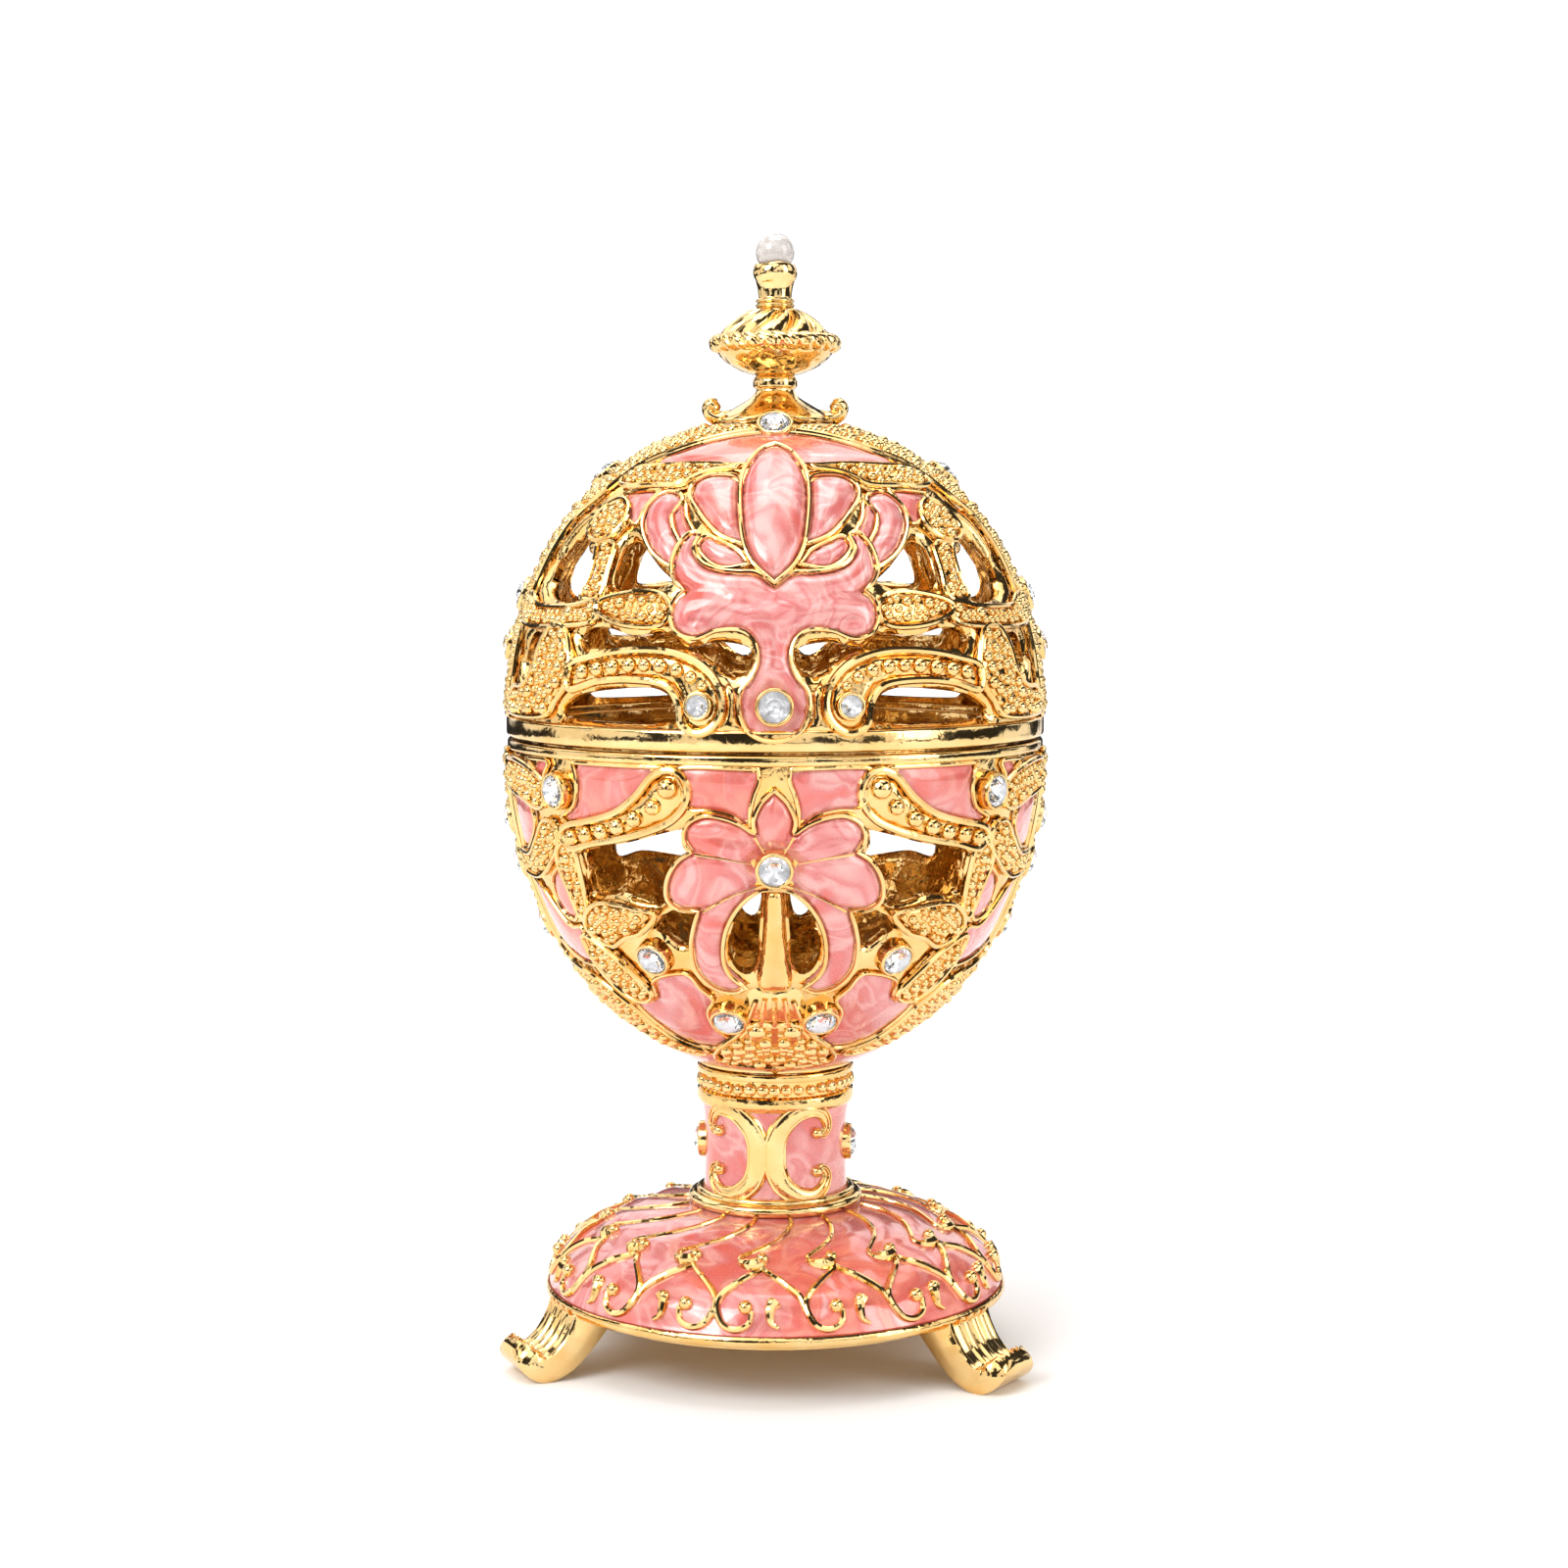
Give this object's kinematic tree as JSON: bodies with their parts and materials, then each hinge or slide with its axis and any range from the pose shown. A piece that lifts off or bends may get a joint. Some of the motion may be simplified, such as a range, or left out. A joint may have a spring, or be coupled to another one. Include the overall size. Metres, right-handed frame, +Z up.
{
  "type": "jewelled egg trinket box",
  "caption": "Openwork metal egg box on a footed pedestal: the upper half lifts off as a lid, with a turned finial, a pearl and clear round stones in raised settings.",
  "frame": {"origin": "on the ground under the egg's axis", "axes": "+Z up along the egg's axis, -Y towards the front flower, +X to the front's right"},
  "size_m": [0.0589, 0.0609, 0.1196],
  "materials": {
    "gilt_metal": "polished",
    "pink_enamel": "pearly enamel on gilt metal",
    "clear_stone": "faceted, clear",
    "pearl": "pearly gloss"
  },
  "bodies": {
    "root": {"pedestal": "pink_enamel", "egg_bowl": "gilt_metal", "egg_lid": "gilt_metal", "finial": "gilt_metal", "pearl": "pearl", "lid_crown_stone_front": "clear_stone", "lid_crown_stone_back": "clear_stone", "lid_flower_stone_front": "clear_stone", "lid_flower_stone_back": "clear_stone", "lid_arm_stone_front_right": "clear_stone", "lid_arm_stone_front_left": "clear_stone", "lid_arm_stone_back_right": "clear_stone", "lid_arm_stone_back_left": "clear_stone", "lid_side_stone_high_right": "clear_stone", "lid_side_stone_high_left": "clear_stone", "lid_side_stone_middle_right": "clear_stone", "lid_side_stone_middle_left": "clear_stone", "lid_side_stone_low_right": "clear_stone", "lid_side_stone_low_left": "clear_stone", "bowl_flower_stone_front": "clear_stone", "bowl_flower_stone_back": "clear_stone", "bowl_knot_stone_front_right": "clear_stone", "bowl_knot_stone_front_left": "clear_stone", "bowl_knot_stone_back_right": "clear_stone", "bowl_knot_stone_back_left": "clear_stone", "bowl_panel_stone_front_right": "clear_stone", "bowl_panel_stone_front_left": "clear_stone", "bowl_panel_stone_back_right": "clear_stone", "bowl_panel_stone_back_left": "clear_stone", "bowl_fan_stone_front_right": "clear_stone", "bowl_fan_stone_front_left": "clear_stone", "bowl_fan_stone_back_right": "clear_stone", "bowl_fan_stone_back_left": "clear_stone", "bowl_side_stone_high_right": "clear_stone", "bowl_side_stone_high_left": "clear_stone", "bowl_side_stone_middle_right": "clear_stone", "bowl_side_stone_middle_left": "clear_stone", "bowl_side_stone_low_right": "clear_stone", "bowl_side_stone_low_left": "clear_stone", "stem_stone_right": "clear_stone", "stem_stone_left": "clear_stone"}
  },
  "joints": []
}
